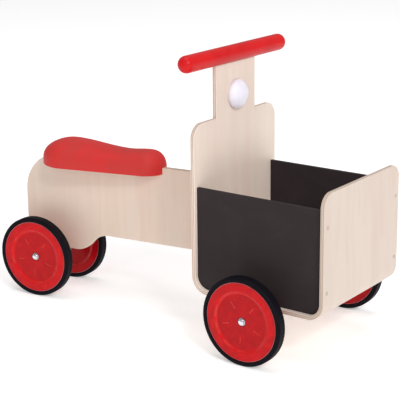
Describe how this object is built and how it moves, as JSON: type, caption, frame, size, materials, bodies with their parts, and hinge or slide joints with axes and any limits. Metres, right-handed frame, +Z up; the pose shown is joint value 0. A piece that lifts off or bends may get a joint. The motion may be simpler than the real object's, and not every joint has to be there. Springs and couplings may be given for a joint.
{
  "type": "children's ride-on delivery bike",
  "caption": "Child's wooden ride-on bike: saddle on an upright board with close-set rear wheels, and an open cargo box with handlebar and wide-set front wheels that steers.",
  "frame": {"origin": "on the ground, midway along the overall length and midway between the two front wheels", "axes": "+X forward along the cargo carrier, +Y to the rider's left, +Z up. At rest the carrier is steered 7.5 degrees to the rider's right of straight ahead, so the saddle board trails at +7.5 degrees about +Z."},
  "size_m": [0.623, 0.2952, 0.4245],
  "materials": {
    "birch_ply": "clear satin lacquer over pale birch veneer, ply layers showing at the edges",
    "hardwood": "sanded beech, clear satin lacquer",
    "chalkboard": "matt charcoal chalkboard paint on thin board",
    "red_dowel": "satin red paint over wood",
    "red_saddle": "satin moulded red saddle, soft sheen",
    "white_lamp": "glossy white with a cool tint",
    "tyre": "plain black rubber, low sheen",
    "red_disc": "moulded red plastic, semi-gloss",
    "nylon": "natural nylon",
    "chrome_cap": "bright plated",
    "zinc_steel": "zinc plated steel",
    "black_bracket": "satin black powder coat"
  },
  "bodies": {
    "frame": {"frame_board": "birch_ply", "hinge_post": "hardwood", "post_bolts": "zinc_steel", "post_nuts": "zinc_steel", "hinge_bushes": "nylon", "seat": "red_saddle", "seat_cleat_left": "hardwood", "seat_cleat_right": "hardwood", "cleat_bolts": "zinc_steel", "cleat_nuts": "zinc_steel", "seat_screws": "zinc_steel", "rear_cheek_left": "hardwood", "rear_cheek_right": "hardwood", "cheek_bolts": "zinc_steel", "cheek_nuts": "zinc_steel", "rear_axle": "zinc_steel", "rear_axle_caps": "chrome_cap", "rear_spacers": "nylon"},
    "carrier": {"carrier_shell": "birch_ply", "side_panel_left": "chalkboard", "side_panel_right": "chalkboard", "panel_screws": "zinc_steel", "panel_plugs": "hardwood", "handlebar": "red_dowel", "handlebar_screws": "zinc_steel", "headlamp": "white_lamp", "headlamp_screw": "zinc_steel", "axle_block": "hardwood", "axle_block_screws": "zinc_steel", "front_axle": "zinc_steel", "front_axle_caps": "chrome_cap", "front_spacers": "nylon", "hinge_bracket_upper": "black_bracket", "hinge_bracket_lower": "black_bracket", "bracket_screws": "zinc_steel", "steering_pin": "zinc_steel", "steering_nut": "zinc_steel", "pin_washers": "zinc_steel"},
    "wheel_front_left": {"tyre_front_left": "tyre", "disc_front_left": "red_disc", "hub_bush_front_left": "nylon"},
    "wheel_front_right": {"tyre_front_right": "tyre", "disc_front_right": "red_disc", "hub_bush_front_right": "nylon"},
    "wheel_rear_left": {"tyre_rear_left": "tyre", "disc_rear_left": "red_disc", "hub_bush_rear_left": "nylon"},
    "wheel_rear_right": {"tyre_rear_right": "tyre", "disc_rear_right": "red_disc", "hub_bush_rear_right": "nylon"}
  },
  "joints": [
    {"name": "steering", "type": "hinge", "parent": "frame", "child": "carrier", "pos_m": [0.0675, 0, 0.163], "axis": [0, 0, 1], "range_deg": [-28.5, 43.5]},
    {"name": "front_left_spin", "type": "hinge", "parent": "carrier", "child": "wheel_front_left", "pos_m": [0.2035, 0.1393, 0.065], "axis": [0, 1, 0], "continuous": true},
    {"name": "front_right_spin", "type": "hinge", "parent": "carrier", "child": "wheel_front_right", "pos_m": [0.2035, -0.1393, 0.065], "axis": [0, 1, 0], "continuous": true},
    {"name": "rear_left_spin", "type": "hinge", "parent": "frame", "child": "wheel_rear_left", "pos_m": [-0.24636, 0.00901, 0.065], "axis": [-0.1305, 0.9914, 0], "continuous": true},
    {"name": "rear_right_spin", "type": "hinge", "parent": "frame", "child": "wheel_rear_right", "pos_m": [-0.23334, -0.08994, 0.065], "axis": [-0.1305, 0.9914, 0], "continuous": true}
  ]
}
